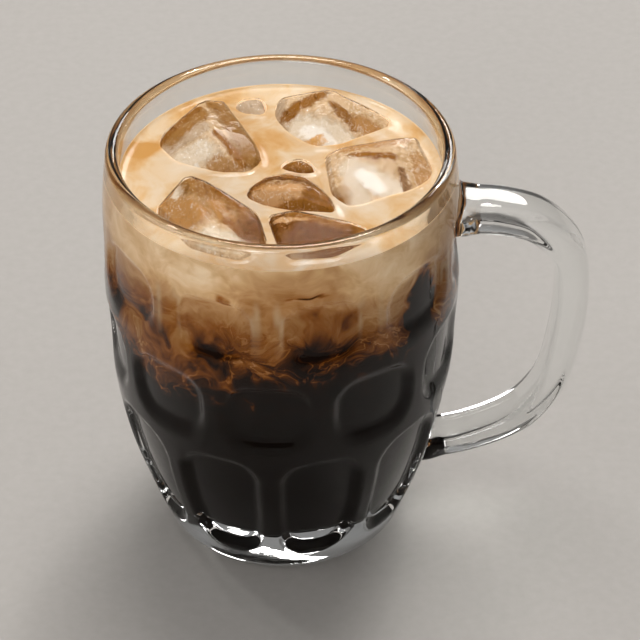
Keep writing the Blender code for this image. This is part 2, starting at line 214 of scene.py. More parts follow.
# Shades in the ice as they lie from above: tint, the two ends of a band (x, y), half width, strength
ICE_SHADES = (
    ("grey", (-28, 11), (-20, 14), 2.4, 0.8),
    ("umber", (-27, 14.5), (-20.5, 19.5), 2.8, 1.0),
    ("brown", (-30, 15), (-21, 23), 1.3, 1.0),
    ("umber", (-16.5, 26), (-7, 5), 2.8, 0.9),
    ("brown", (-16, 12), (-9.5, 3), 1.3, 1.0),
    ("umber", (-9, 16), (-5.5, 6), 0.8, 0.9),
    ("frost_and_painted_sheen", (-29, 5), (-20, 7), 3.0, 0.9),
    ("frost_and_painted_glint", (-24, 1.5), (-21, 3.5), 1.1, 0.8),
    ("frost_and_painted_sheen", (-20, 8), (-16, 6), 2.0, 0.5),
    ("tan", (-16, 3), (-12, 1), 2.6, 0.7),
    ("grey", (-10, 31), (-4, 28), 3.0, 0.8),
    ("grey", (0, 28), (1, 17), 1.6, 0.7),
    ("brown", (2.5, 23.5), (9.5, 27), 2.0, 0.95),
    ("brown", (13.5, 24), (19, 18.5), 1.2, 0.85),
    ("tan", (20, 20.5), (27, 17.5), 2.2, 0.85),
    ("frost_and_painted_sheen", (5, 18), (15, 15), 3.4, 0.95),
    ("frost_and_painted_sheen", (14, 13), (23, 15), 2.0, 0.9),
    ("frost_and_painted_glint", (6, 17.5), (13, 13), 1.5, 0.8),
    ("amber", (6, 13.5), (10, 14), 1.1, 0.75),
    ("tan", (16, 4), (31, 8.5), 1.4, 0.8),
    ("brown", (18, 1.6), (28, 2), 0.9, 1.0),
    ("frost_and_painted_sheen", (17, -2), (20, -14), 2.8, 0.8),
    ("frost_and_painted_sheen", (21, -4), (27, -8), 3.2, 0.95),
    ("frost_and_painted_glint", (20, -4), (24, -7.5), 1.8, 0.9),
    ("deep", (30, -2), (31, -10), 1.2, 0.7),
    ("tan", (34, 3), (35.5, -7), 2.0, 0.7),
    ("brown", (-6, -14), (10, -14), 6.5, 1.0),
    ("brown", (-8, -9), (-1.5, -3.5), 2.4, 1.0),
    ("brown", (-1.5, -3.5), (9, -6), 2.6, 1.0),
    ("deep", (-7.5, -8.5), (-2, -5.5), 0.7, 1.0),
    ("deep", (-2, -5.5), (8.5, -7.8), 0.8, 1.0),
    ("beige", (-5.5, -11.5), (3.5, -10.8), 2.0, 1.0),
    ("amber", (10.5, -18), (12.5, -20), 1.2, 0.7),
    ("brown", (0, 1.5), (9, 1), 2.6, 1.0),
    ("tan", (-29, -15), (-21, -22), 4.0, 0.9),
    ("frost_and_painted_sheen", (-25.5, -14), (-21.5, -12.5), 1.3, 0.9),
    ("umber", (-20, -12), (-7, -23), 4.2, 1.0),
    ("brown", (-21, -10), (-8, -19), 1.4, 0.9),
    ("tan", (-16, -19), (-13, -23), 1.8, 0.9),
    ("frost_and_painted_sheen", (-17, -29), (-6, -31), 2.6, 0.9),
    ("brown", (-13, -24), (-8, -29), 1.0, 1.0),
    ("deep", (-3, -26), (14, -30), 7.0, 1.0),
    ("brown", (3, -21.5), (20, -26), 1.6, 1.0),
    ("beige", (-1.5, -22.5), (6, -23.5), 0.7, 0.9),
)

# Stage, in metres but for the floor's drop: lamps with their place, size, power and colour
FLOOR_DROP = 0.15
LAMP_TARGET = (0.0, 0.0, 0.06)
LAMPS = (
    ("overhead soft light", (0.1, 0.45, 1.3), (0.7, 0.5), 9.0, (1.0, 0.98, 0.95)),
    ("back soft light", (0.42, 1.1, 0.87), (0.5, 0.45), 5.0, (1.0, 0.98, 0.96)),
    ("left soft light", (-1.2, -0.2, 0.7), (0.6, 0.9), 2.4, (1.0, 0.97, 0.94)),
    ("front fill light", (-0.4, -1.2, 0.55), (0.8, 0.35), 5.0, (1.0, 0.98, 0.96)),
    ("right glint light", (0.25, 0.6, 1.2), (0.07, 0.07), 1.7, (1.0, 0.99, 0.97)),
    ("left glint light", (-0.5, 0.35, 1.1), (0.07, 0.07), 1.7, (1.0, 0.99, 0.97)),
)
ROOM_SHADES = ((0.0, (0.09, 0.085, 0.08)), (0.4, (0.12, 0.115, 0.11)), (1.0, (0.4, 0.4, 0.4)))

# Camera: where it looks, how far and how high it stands, and how it turns from there
CAMERA_TARGET = (0.0, 0.0, 53.0)
CAMERA_DISTANCE = 700.0
CAMERA_ELEVATION = 38.0414
CAMERA_YAW = 0.79755
CAMERA_PITCH = 0.32763
CAMERA_ROLL = -0.60432
CAMERA_LENS = 151.77


def smooth_step(low, high, value):
    share = min(max((value - low) / (high - low), 0.0), 1.0)
    return share * share * (3.0 - 2.0 * share)


def front_angle(x, y):
    """Angle in degrees from the front, -Y, towards +X."""
    return math.degrees(math.atan2(x, -y))


def smooth_path(points, step):
    """Places about a step apart on a smooth curve through the points, a centripetal Catmull-Rom."""
    knots = [Vector(point) for point in points]
    knots = [2.0 * knots[0] - knots[1], *knots, 2.0 * knots[-1] - knots[-2]]
    path = []
    for p0, p1, p2, p3 in zip(knots, knots[1:], knots[2:], knots[3:]):
        t1 = (p1 - p0).length ** 0.5
        t2 = t1 + (p2 - p1).length ** 0.5
        t3 = t2 + (p3 - p2).length ** 0.5
        pieces = max(1, round((p2 - p1).length / step))
        for piece in range(pieces):
            t = t1 + (t2 - t1) * piece / pieces
            a1 = p0.lerp(p1, t / t1)
            a2 = p1.lerp(p2, (t - t1) / (t2 - t1))
            a3 = p2.lerp(p3, (t - t2) / (t3 - t2))
            b1 = a1.lerp(a2, t / t2)
            b2 = a2.lerp(a3, (t - t1) / (t3 - t1))
            path.append(b1.lerp(b2, (t - t1) / (t2 - t1)))
    return path + [knots[-2]]


OUTER_PATH = smooth_path(OUTER_PROFILE, OUTER_STEP)
INNER_PATH = smooth_path(INNER_PROFILE, INNER_STEP)


def path_radius(path, height):
    """Radius of a path of (radius, height) places at a height. Heights rise or fall all along it."""
    places = path if path[0].y < path[-1].y else path[::-1]
    if height <= places[0].y:
        return places[0].x
    for low, high in zip(places, places[1:]):
        if height <= high.y:
            return low.x + (high.x - low.x) * (height - low.y) / (high.y - low.y)
    return places[-1].x


def spin_profile(bm, points, columns):
    """Turns (radius, height) places round the Z axis. The first and last lie on the axis."""
    verts = [bm.verts.new((radius, 0.0, height)) for radius, height in points]
    edges = [bm.edges.new(pair) for pair in zip(verts, verts[1:])]
    bmesh.ops.spin(
        bm,
        geom=verts + edges,
        cent=(0.0, 0.0, 0.0),
        axis=(0.0, 0.0, 1.0),
        angle=math.tau,
        steps=columns,
        use_merge=True,
        use_duplicate=False,
    )
    bmesh.ops.remove_doubles(bm, verts=bm.verts, dist=0.001)


def make_object(name, bm, scale=MM, crease=180.0):
    """Makes an object in metres from a bmesh, smooth but for edges sharper than the crease."""
    bmesh.ops.scale(bm, vec=(scale, scale, scale), verts=bm.verts)
    bmesh.ops.recalc_face_normals(bm, faces=bm.faces)
    mesh = bpy.data.meshes.new(name)
    bm.to_mesh(mesh)
    bm.free()
    mesh.shade_smooth()
    mesh.set_sharp_from_angle(angle=math.radians(crease))
    obj = bpy.data.objects.new(name, mesh)
    bpy.context.scene.collection.objects.link(obj)
    return obj


def finish_modifiers(obj, crease=180.0):
    """Puts the object's evaluated shape into its mesh, with no modifiers left."""
    graph = bpy.context.evaluated_depsgraph_get()
    mesh = bpy.data.meshes.new_from_object(obj.evaluated_get(graph))
    obj.modifiers.clear()
    obj.data = mesh
    mesh.shade_smooth()
    mesh.set_sharp_from_angle(angle=math.radians(crease))


def add_boolean(obj, operation, other):
    modifier = obj.modifiers.new(operation.lower(), "BOOLEAN")
    modifier.operation = operation
    modifier.solver = "EXACT"
    modifier.object = other


def open_mesh(obj):
    bm = bmesh.new()
    bm.from_mesh(obj.data)
    return bm


def close_mesh(bm, obj):
    bm.to_mesh(obj.data)
    bm.free()
    obj.data.shade_smooth()


def relax(bm, verts, passes):
    """Moves each vertex half way to the middle of its neighbours, a few times over."""
    for _ in range(passes):
        bmesh.ops.smooth_vert(
            bm, verts=verts, factor=0.5, use_axis_x=True, use_axis_y=True, use_axis_z=True
        )


def dress(obj, *materials):
    obj.data.materials.clear()
    for material in materials:
        obj.data.materials.append(material)


# Nodes of materials and groups


def put(tree, kind, inputs=(), **settings):
    """Adds a node. An input takes a number, a colour or another node's output."""
    node = tree.nodes.new(kind)
    for name, value in settings.items():
        setattr(node, name, value)
    for key, value in dict(inputs).items():
        if isinstance(value, bpy.types.NodeSocket):
            tree.links.new(value, node.inputs[key])
        else:
            node.inputs[key].default_value = value
    return node


def calc(tree, operation, first, second=0.0, third=0.0, clamp=False):
    """Output of a Math node."""
    inputs = {0: first, 1: second, 2: third}
    return put(tree, "ShaderNodeMath", inputs, operation=operation, use_clamp=clamp).outputs[0]


def move(tree, operation, first, second):
    """Output of a Vector Math node with two vectors."""
    inputs = {0: first, 1: second}
    return put(tree, "ShaderNodeVectorMath", inputs, operation=operation).outputs[0]


def resize(tree, vector, factor):
    inputs = {"Vector": vector, "Scale": factor}
    return put(tree, "ShaderNodeVectorMath", inputs, operation="SCALE").outputs["Vector"]


def noise_of(tree, vector, scale, detail=2.0, roughness=0.5, distortion=0.0, output="Fac"):
    inputs = {
        "Vector": vector, "Scale": scale, "Detail": detail, "Roughness": roughness,
        "Distortion": distortion,
    }
    return put(tree, "ShaderNodeTexNoise", inputs).outputs[output]


def centred_noise(tree, vector, scale, detail=2.0, roughness=0.5):
    """Noise from about -0.5 to 0.5."""
    return calc(tree, "SUBTRACT", noise_of(tree, vector, scale, detail, roughness), 0.5)


def drift_of(tree, vector, scale, detail=2.0, roughness=0.5):
    """Noise as a vector, each part of it from about -0.5 to 0.5."""
    drift = noise_of(tree, vector, scale, detail, roughness, output="Color")
    return move(tree, "SUBTRACT", drift, (0.5, 0.5, 0.5))


def shifted(tree, vector, drift, reach):
    return move(tree, "ADD", vector, resize(tree, drift, reach))


def axes_of(tree, vector):
    return put(tree, "ShaderNodeSeparateXYZ", {0: vector}).outputs


def ramp(tree, value, stops):
    """Colour ramp. A stop is (place, colour)."""
    node = put(tree, "ShaderNodeValToRGB", {"Fac": value})
    elements = node.color_ramp.elements
    while len(elements) < len(stops):
        elements.new(1.0)
    for element, (place, colour) in zip(elements, stops):
        element.position = place
        element.color = (*colour, 1.0)
    return node.outputs["Color"]


def span(tree, value, low, high, to_low=0.0, to_high=1.0, smooth=False):
    """Output of a Map Range node, clamped."""
    inputs = {
        "Value": value, "From Min": low, "From Max": high, "To Min": to_low, "To Max": to_high,
    }
    kind = "SMOOTHSTEP" if smooth else "LINEAR"
    return put(tree, "ShaderNodeMapRange", inputs, interpolation_type=kind).outputs["Result"]


def length_of(tree, vector):
    return put(tree, "ShaderNodeVectorMath", {0: vector}, operation="LENGTH").outputs["Value"]


def soft_mask(tree, length, softness):
    """1 well inside a length of 1 and 0 well outside it."""
    inner = calc(tree, "SUBTRACT", 1.0, softness)
    outer = calc(tree, "ADD", 1.0, softness)
    return span(tree, length, inner, outer, 1.0, 0.0, True)


def mix_colour(tree, share, first, second, kind="MIX"):
    inputs = {"Factor": share, "A": first, "B": second}
    node = put(tree, "ShaderNodeMix", data_type="RGBA", blend_type=kind)
    for key, value in inputs.items():
        socket = next(s for s in node.inputs if s.name == key and s.enabled)
        if isinstance(value, bpy.types.NodeSocket):
            tree.links.new(value, socket)
        else:
            socket.default_value = value if key == "Factor" else (*value, 1.0)
    return next(s for s in node.outputs if s.enabled)


def millimetres(tree):
    """Object coordinates in millimetres."""
    place = put(tree, "ShaderNodeTexCoord").outputs["Object"]
    return resize(tree, place, 1.0 / MM)


def start_group(name, inputs, outputs):
    """A shader node group. Inputs and outputs are (name, kind, value) rows."""
    tree = bpy.data.node_groups.new(name, "ShaderNodeTree")
    for side, rows in (("INPUT", inputs), ("OUTPUT", outputs)):
        for label, kind, value in rows:
            socket = tree.interface.new_socket(label, in_out=side, socket_type=kind)
            if value is not None:
                socket.default_value = value
    entry = tree.nodes.new("NodeGroupInput")
    leave = tree.nodes.new("NodeGroupOutput")
    return tree, entry.outputs, leave.inputs


def feed(tree, node, **inputs):
    """Sets or links a node's inputs. Keyword names have underscores for spaces."""
    for key, value in inputs.items():
        socket = node.inputs[key.replace("_", " ")]
        if isinstance(value, bpy.types.NodeSocket):
            tree.links.new(value, socket)
        else:
            socket.default_value = value


def use_group(tree, group, **inputs):
    node = put(tree, "ShaderNodeGroup", node_tree=group)
    feed(tree, node, **inputs)
    return node.outputs


FLOAT = "NodeSocketFloat"
COLOR = "NodeSocketColor"
VECTOR = "NodeSocketVector"


def build_marbling_group():
    """Cream above, amber clouds between and near-black coffee below, drawn out into wisps. Its darkening
    with depth is partly painted shade.
    """
    inputs = (
        ("Cloud Size", FLOAT, 18.0), ("Cloud Reach", FLOAT, 30.0), ("Cloud Drift", FLOAT, 26.0),
        ("Wisp Size", FLOAT, 7.0), ("Wisp Reach", FLOAT, 26.0), ("Wisp Curl", FLOAT, 9.0),
        ("Flatness", FLOAT, 2.4), ("Thread Reach", FLOAT, 9.0),
    )
    tree, given, result = start_group("marbled drink", inputs, (("Color", COLOR, None),))
    place = millimetres(tree)
    cloud_scale = calc(tree, "DIVIDE", 1.0, given["Cloud Size"])
    wisp_scale = calc(tree, "DIVIDE", 1.0, given["Wisp Size"])
    bent = shifted(tree, place, drift_of(tree, place, cloud_scale), given["Cloud Drift"])
    swirl = drift_of(tree, bent, wisp_scale)
    curled = shifted(tree, bent, swirl, given["Wisp Curl"])
    stretch = put(tree, "ShaderNodeCombineXYZ", {"X": 1.0, "Y": 1.0, "Z": given["Flatness"]})
    flat = move(tree, "MULTIPLY", curled, stretch.outputs["Vector"])
    cloud = centred_noise(tree, bent, cloud_scale, detail=3.0)
    wisp = centred_noise(tree, flat, wisp_scale, detail=6.0, roughness=0.6)
    height = axes_of(tree, place)["Z"]
    level = calc(tree, "MULTIPLY_ADD", cloud, given["Cloud Reach"], height)
    calm = span(tree, height, 86.0, 98.0, 1.0, 0.5)
    reach = calc(tree, "MULTIPLY", given["Wisp Reach"], calm)
    level = calc(tree, "MULTIPLY_ADD", wisp, reach, level)
    fold_scale = calc(tree, "MULTIPLY", wisp_scale, 1.3)
    fold = centred_noise(tree, curled, fold_scale, detail=3.0, roughness=0.45)
    thread = span(tree, calc(tree, "ABSOLUTE", fold), 0.0, 0.035, 1.0, 0.0, True)
    thread = calc(tree, "MULTIPLY", thread, span(tree, cloud, -0.08, 0.1))
    thread = calc(tree, "MULTIPLY", thread, span(tree, level, 94.0, 82.0))
    level = calc(tree, "MULTIPLY_ADD", thread, given["Thread Reach"], level)
    for turn, up, half_size, softness, shift in STAINS:
        ragged = shifted(tree, place, swirl, 4.0 + 1.6 * half_size[0])
        side = math.radians(turn)
        centre = (DRINK_RADIUS * math.sin(side), -DRINK_RADIUS * math.cos(side), up)
        stain = use_group(
            tree, STAIN, Place=ragged, Centre=centre, Half_Size=half_size, Softness=softness
        )
        level = calc(tree, "MULTIPLY_ADD", stain["Mask"], shift, level)
    colour = ramp(tree, span(tree, level, *LEVEL_RANGE), DRINK_SHADES)
    tree.links.new(colour, result["Color"])
    return tree


def build_stain_group():
    """A soft-edged egg-shaped place in the drink, as a mask. Its warp makes the edge ragged."""
    inputs = (
        ("Place", VECTOR, None), ("Centre", VECTOR, None), ("Half Size", VECTOR, None),
        ("Softness", FLOAT, 0.4),
    )
    tree, given, result = start_group("stain", inputs, (("Mask", FLOAT, None),))
    away = move(tree, "SUBTRACT", given["Place"], given["Centre"])
    away = move(tree, "DIVIDE", away, given["Half Size"])
    tree.links.new(soft_mask(tree, length_of(tree, away), given["Softness"]), result["Mask"])
    return tree


def build_band_group():
    """A soft-edged band from one place to another, as a mask."""
    inputs = (
        ("Place", VECTOR, None), ("Start", VECTOR, None), ("End", VECTOR, None),
        ("Half Width", FLOAT, 1.0), ("Softness", FLOAT, 0.5),
    )
    tree, given, result = start_group("band", inputs, (("Mask", FLOAT, None),))
    line = move(tree, "SUBTRACT", given["End"], given["Start"])
    away = move(tree, "SUBTRACT", given["Place"], given["Start"])
    along = put(tree, "ShaderNodeVectorMath", {0: away, 1: line}, operation="DOT_PRODUCT")
    whole = put(tree, "ShaderNodeVectorMath", {0: line, 1: line}, operation="DOT_PRODUCT")
    share = calc(tree, "DIVIDE", along.outputs["Value"], whole.outputs["Value"], clamp=True)
    away = move(tree, "SUBTRACT", away, resize(tree, line, share))
    length = calc(tree, "DIVIDE", length_of(tree, away), given["Half Width"])
    tree.links.new(soft_mask(tree, length, given["Softness"]), result["Mask"])
    return tree


def build_rib_glow_group():
    """Light that the sides of the upper dimples gather on the drink, as a mask of upright lines."""
    tree, _, result = start_group("glow behind ribs", (), (("Mask", FLOAT, None),))
    row = DIMPLE_ROWS[-1]
    place = millimetres(tree)
    warp = centred_noise(tree, place, 0.12)
    parts = axes_of(tree, place)
    angle = calc(tree, "ARCTAN2", parts["X"], calc(tree, "MULTIPLY", parts["Y"], -1.0))
    angle = calc(tree, "DEGREES", angle)
    angle = calc(tree, "MULTIPLY_ADD", warp, 1.5, angle)
    centre = RIB_ANGLE + row["turn"] * PITCH
    across = calc(tree, "WRAP", angle, centre + PITCH / 2.0, centre - PITCH / 2.0)
    across = calc(tree, "ABSOLUTE", calc(tree, "SUBTRACT", across, centre))
    away = calc(tree, "ABSOLUTE", calc(tree, "SUBTRACT", across, RIB_GLOW_ANGLE))
    line = span(tree, away, 0.0, RIB_GLOW_WIDTH, 1.0, 0.0, True)
    upper = span(tree, parts["Z"], row["high"], row["high"] - 6.0, 0.0, 1.0, True)
    lower = span(tree, parts["Z"], row["low"] + 2.0, row["low"] + 12.0, 0.0, 1.0, True)
    mask = calc(tree, "MULTIPLY", line, calc(tree, "MULTIPLY", upper, lower))
    patchy = span(tree, noise_of(tree, place, 0.09, 3.0), 0.42, 0.6, 0.25, 1.0)
    tree.links.new(calc(tree, "MULTIPLY", mask, patchy), result["Mask"])
    return tree


def build_ripple_group():
    """Slow waves and fine unevenness of a poured, pressed or melting surface, as a normal."""
    inputs = (
        ("Wave Size", FLOAT, 8.0), ("Wave Height", FLOAT, 0.1), ("Fine Size", FLOAT, 1.0),
        ("Fine Height", FLOAT, 0.02),
    )
    tree, given, result = start_group("surface ripple", inputs, (("Normal", VECTOR, None),))
    place = millimetres(tree)
    wave = noise_of(tree, place, calc(tree, "DIVIDE", 1.0, given["Wave Size"]), 2.0)
    fine = noise_of(tree, place, calc(tree, "DIVIDE", 1.0, given["Fine Size"]), 3.0)
    height = calc(tree, "MULTIPLY", wave, given["Wave Height"])
    height = calc(tree, "MULTIPLY_ADD", fine, given["Fine Height"], height)
    bump = put(tree, "ShaderNodeBump", {"Strength": 1.0, "Distance": MM, "Height": height})
    tree.links.new(bump.outputs["Normal"], result["Normal"])
    return tree


def build_frost_group():
    """Patches where ice is cloudy, with streaks in them, as a mask."""
    inputs = (
        ("Patch Size", FLOAT, 11.0), ("Streak Size", FLOAT, 1.6), ("Amount", FLOAT, 0.5),
    )
    tree, given, result = start_group("ice frost", inputs, (("Mask", FLOAT, None),))
    place = millimetres(tree)
    patch = noise_of(tree, place, calc(tree, "DIVIDE", 1.0, given["Patch Size"]), 2.0)
    drawn = move(tree, "MULTIPLY", place, (1.0, 0.45, 1.0))
    streak = noise_of(tree, drawn, calc(tree, "DIVIDE", 1.0, given["Streak Size"]), 5.0, 0.65, 1.2)
    edge = calc(tree, "SUBTRACT", 1.0, given["Amount"])
    low = calc(tree, "SUBTRACT", edge, 0.12)
    high = calc(tree, "ADD", edge, 0.16)
    patch = span(tree, patch, low, high)
    streak = span(tree, streak, 0.42, 0.72)
    mask = calc(tree, "MULTIPLY", patch, calc(tree, "MULTIPLY_ADD", streak, 0.75, 0.25))
    tree.links.new(mask, result["Mask"])
    return tree


STAIN = build_stain_group()
BAND = build_band_group()
MARBLING = build_marbling_group()
RIPPLE = build_ripple_group()
RIB_GLOW = build_rib_glow_group()
FROST = build_frost_group()


def start_material(name, colour):
    material = bpy.data.materials.new(name)
    material.use_nodes = True
    material.diffuse_color = (*colour, 1.0)
    tree = material.node_tree
    return material, tree, tree.nodes["Principled BSDF"], tree.nodes["Material Output"]


def let_lamps_through(tree, shader, output, tint):
    """Clear pieces let the lamps' light through, less of it where they are seen edge on."""
    path = put(tree, "ShaderNodeLightPath")
    facing = put(tree, "ShaderNodeLayerWeight", {"Blend": 0.25}).outputs["Facing"]
    shade = mix_colour(tree, facing, tint, tuple(0.75 * value for value in tint))
    clear = put(tree, "ShaderNodeBsdfTransparent", {"Color": shade})
    either = put(tree, "ShaderNodeMixShader", {0: path.outputs["Is Shadow Ray"]})
    tree.links.new(shader.outputs[0], either.inputs[1])
    tree.links.new(clear.outputs[0], either.inputs[2])
    tree.links.new(either.outputs[0], output.inputs["Surface"])


def make_glass(name, mirror):
    """Pressed glass. The mirror value is the strength of its reflections, faint over a dark drink."""
    material, tree, shader, output = start_material(name, (0.9, 0.92, 0.91))
    place = millimetres(tree)
    haze = noise_of(tree, place, 0.25, 3.0)
    ripple = use_group(tree, RIPPLE, Wave_Size=9.0, Wave_Height=0.05, Fine_Size=2.5, Fine_Height=0.006)
    tint = mix_colour(tree, haze, (0.955, 0.975, 0.968), (0.985, 0.99, 0.987))
    feed(
        tree, shader, Base_Color=tint, Roughness=span(tree, haze, 0.3, 0.7, 0.0, 0.02),
        IOR=1.5, Transmission_Weight=1.0, Normal=ripple["Normal"],
        Specular_Tint=(mirror, mirror, mirror, 1.0),
    )
    let_lamps_through(tree, shader, output, (0.93, 0.945, 0.94))
    return material


def make_drink(name, colour):
    """The drink's marbling. Glass covers it, so it has no shine of its own."""
    material, tree, shader, _ = start_material(name, colour)
    marbling = use_group(tree, MARBLING)
    # Painted light: pale lines where the dimples' sides would gather light on the drink.
    glow = use_group(tree, RIB_GLOW)
    share = calc(tree, "MULTIPLY", glow["Mask"], RIB_GLOW_STRENGTH)
    colour = mix_colour(tree, share, marbling["Color"], RIB_GLOW_COLOUR)
    feed(tree, shader, Base_Color=colour, Roughness=0.5, IOR=1.34, Specular_IOR_Level=0.0)
    return material


def make_milk_top():
    """Open surface of the drink, glossy, with tan swirls in the cream and a painted shadow darkening it
    behind the front wall.
    """
    material, tree, shader, _ = start_material("milk surface", (0.66, 0.46, 0.26))
    place = millimetres(tree)
    bent = shifted(tree, place, drift_of(tree, place, 0.06), 22.0)
    swirl = noise_of(tree, bent, 0.09, detail=4.0, roughness=0.55)
    for x, y, radius, shift in TOP_PATCHES:
        patch = use_group(
            tree, STAIN, Place=bent, Centre=(x, y, DRINK_LEVEL), Half_Size=(radius, radius, 20.0),
            Softness=0.6,
        )
        swirl = calc(tree, "MULTIPLY_ADD", patch["Mask"], shift, swirl)
    # Painted shadow: the cream is darkened along the front wall, as if the wall shades it.
    painted_wall_shadow = span(tree, axes_of(tree, place)["Y"], -27.0, -36.0, 0.0, 1.0, True)
    colour = ramp(tree, swirl, SURFACE_SHADES)
    colour = mix_colour(tree, painted_wall_shadow, colour, (0.74, 0.76, 0.84), "MULTIPLY")
    ripple = use_group(tree, RIPPLE, Wave_Size=7.0, Wave_Height=0.12, Fine_Size=1.2, Fine_Height=0.01)
    feed(tree, shader, Base_Color=colour, Roughness=0.16, IOR=1.35, Normal=ripple["Normal"])
    return material


def make_under_ice():
    """Wall of the hollow that a block of ice sits in: cream at the top, browner lower down, and glowing
    with painted light.
    """
    material, tree, shader, _ = start_material("milk under ice", (0.5, 0.3, 0.14))
    place = millimetres(tree)
    swirl = centred_noise(tree, place, 0.12, detail=4.0, roughness=0.6)
    level = calc(tree, "MULTIPLY_ADD", swirl, 11.0, axes_of(tree, place)["Z"])
    colour = ramp(tree, span(tree, level, 86.0, 104.0), HOLLOW_SHADES)
    # The emission is painted light, standing in for light scattered through the milk.
    feed(
        tree, shader, Base_Color=colour, Roughness=0.6, IOR=1.34, Specular_IOR_Level=0.0,
        Emission_Color=colour, Emission_Strength=PAINTED_UNDER_ICE_GLOW,
    )
    return material


def make_ice():
    material, tree, shader, output = start_material("melting ice", (0.9, 0.88, 0.85))
    frost = use_group(tree, FROST, Patch_Size=9.0, Streak_Size=1.4, Amount=0.5)
    grit = calc(tree, "MULTIPLY_ADD", frost["Mask"], 0.16, 0.004)
    ripple = use_group(tree, RIPPLE, Wave_Size=3.2, Wave_Height=0.10, Fine_Size=0.8, Fine_Height=grit)
    rough = calc(tree, "MULTIPLY_ADD", frost["Mask"], 0.06, 0.02)
    feed(
        tree, shader, Base_Color=(0.985, 0.98, 0.97, 1.0), Roughness=rough, IOR=1.31,
        Transmission_Weight=1.0, Normal=ripple["Normal"], Specular_Tint=(0.2, 0.2, 0.2, 1.0),
    )
    let_lamps_through(tree, shader, output, (0.95, 0.945, 0.93))
    return material


def make_haze():
    """Frost, cracks and the drink's brown, as they show through the ice just below its faces, with painted
    highlight in the palest bands and marks.
    """
    material, tree, shader, _ = start_material("haze in ice", (0.8, 0.66, 0.5))
    place = millimetres(tree)
    drift = drift_of(tree, place, 0.4, detail=5.0, roughness=0.6)
    ragged = shifted(tree, place, drift, HAZE_RAGGEDNESS)
    ragged = move(tree, "MULTIPLY", ragged, (1.0, 1.0, 0.0))
    grain = noise_of(tree, place, 0.9, detail=5.0, roughness=0.62, distortion=0.6)
    mottle = span(tree, grain, 0.35, 0.65)
    colour = mix_colour(tree, mottle, *HAZE_COLOURS)
    cover = 0.0
    for tint, start, end, half_width, strength in ICE_SHADES:
        band = use_group(
            tree, BAND, Place=ragged, Start=(*start, 0.0), End=(*end, 0.0), Half_Width=half_width,
            Softness=0.42,
        )
        mask = calc(tree, "MULTIPLY", band["Mask"], strength)
        share = calc(tree, "MULTIPLY", calc(tree, "MULTIPLY_ADD", mottle, -0.3, 1.25), mask, clamp=True)
        colour = mix_colour(tree, share, colour, ICE_TINTS[tint])
        cover = calc(tree, "MAXIMUM", share, cover)
    crack = calc(tree, "ABSOLUTE", centred_noise(tree, place, 0.22, detail=4.0, roughness=0.6))
    crack = calc(tree, "MULTIPLY", span(tree, crack, 0.0, 0.012, 0.7, 0.0), span(tree, mottle, 0.2, 0.9))
    patch = span(tree, noise_of(tree, place, 0.2, 1.0), 0.45, 0.6)
    speck = span(tree, noise_of(tree, place, 2.0, 1.0), 0.66, 0.72, 0.0, 0.9)
    drawn = move(tree, "MULTIPLY", ragged, (1.8, 0.5, 1.0))
    streak = span(tree, noise_of(tree, drawn, 0.9, 4.0, 0.6), 0.55, 0.66, 0.0, 0.6)
    mark = calc(tree, "MULTIPLY", calc(tree, "MAXIMUM", speck, streak), patch)
    red = put(tree, "ShaderNodeSeparateColor", {0: colour}).outputs["Red"]
    vein = span(tree, noise_of(tree, drawn, 0.5, 4.0, 0.6), 0.36, 0.46, 0.75, 0.0)
    vein = calc(tree, "MULTIPLY", vein, span(tree, red, 0.2, 0.45, 1.0, 0.15))
    shade = mix_colour(tree, 1.0, colour, (0.5, 0.4, 0.25), "MULTIPLY")
    colour = mix_colour(tree, vein, colour, shade)
    # Cracks, specks and streaks are lightened towards the palest tint: partly frost and bubbles, partly
    # painted glints.
    spark = mix_colour(tree, span(tree, red, 0.15, 0.45), ICE_TINTS["beige"], ICE_TINTS["frost_and_painted_glint"])
    colour = mix_colour(tree, calc(tree, "MAXIMUM", crack, mark), colour, spark)
    alpha = calc(tree, "MAXIMUM", span(tree, grain, 0.3, 0.7, 0.76, 0.94), cover)
    feed(tree, shader, Base_Color=colour, Roughness=0.7, Alpha=alpha, Specular_IOR_Level=0.0)
    return material


def make_bubble():
    """Air trapped in ice: it bends light the other way round from a bead of glass."""
    material, tree, shader, output = start_material("bubble in ice", (0.95, 0.95, 0.95))
    haze = noise_of(tree, millimetres(tree), 0.4, 1.0)
    tint = mix_colour(tree, haze, (0.93, 0.92, 0.90), (1.0, 1.0, 1.0))
    feed(tree, shader, Base_Color=tint, Roughness=0.0, IOR=0.763, Transmission_Weight=1.0)
    let_lamps_through(tree, shader, output, (0.95, 0.95, 0.95))
    return material


def make_floor():
    material, tree, shader, _ = start_material("pale floor", (0.6, 0.58, 0.56))
    grain = noise_of(tree, millimetres(tree), 0.35, 4.0)
    colour = mix_colour(tree, grain, (0.40, 0.378, 0.355), (0.46, 0.437, 0.415))
    feed(tree, shader, Base_Color=colour, Roughness=0.75)
    return material


# The mug


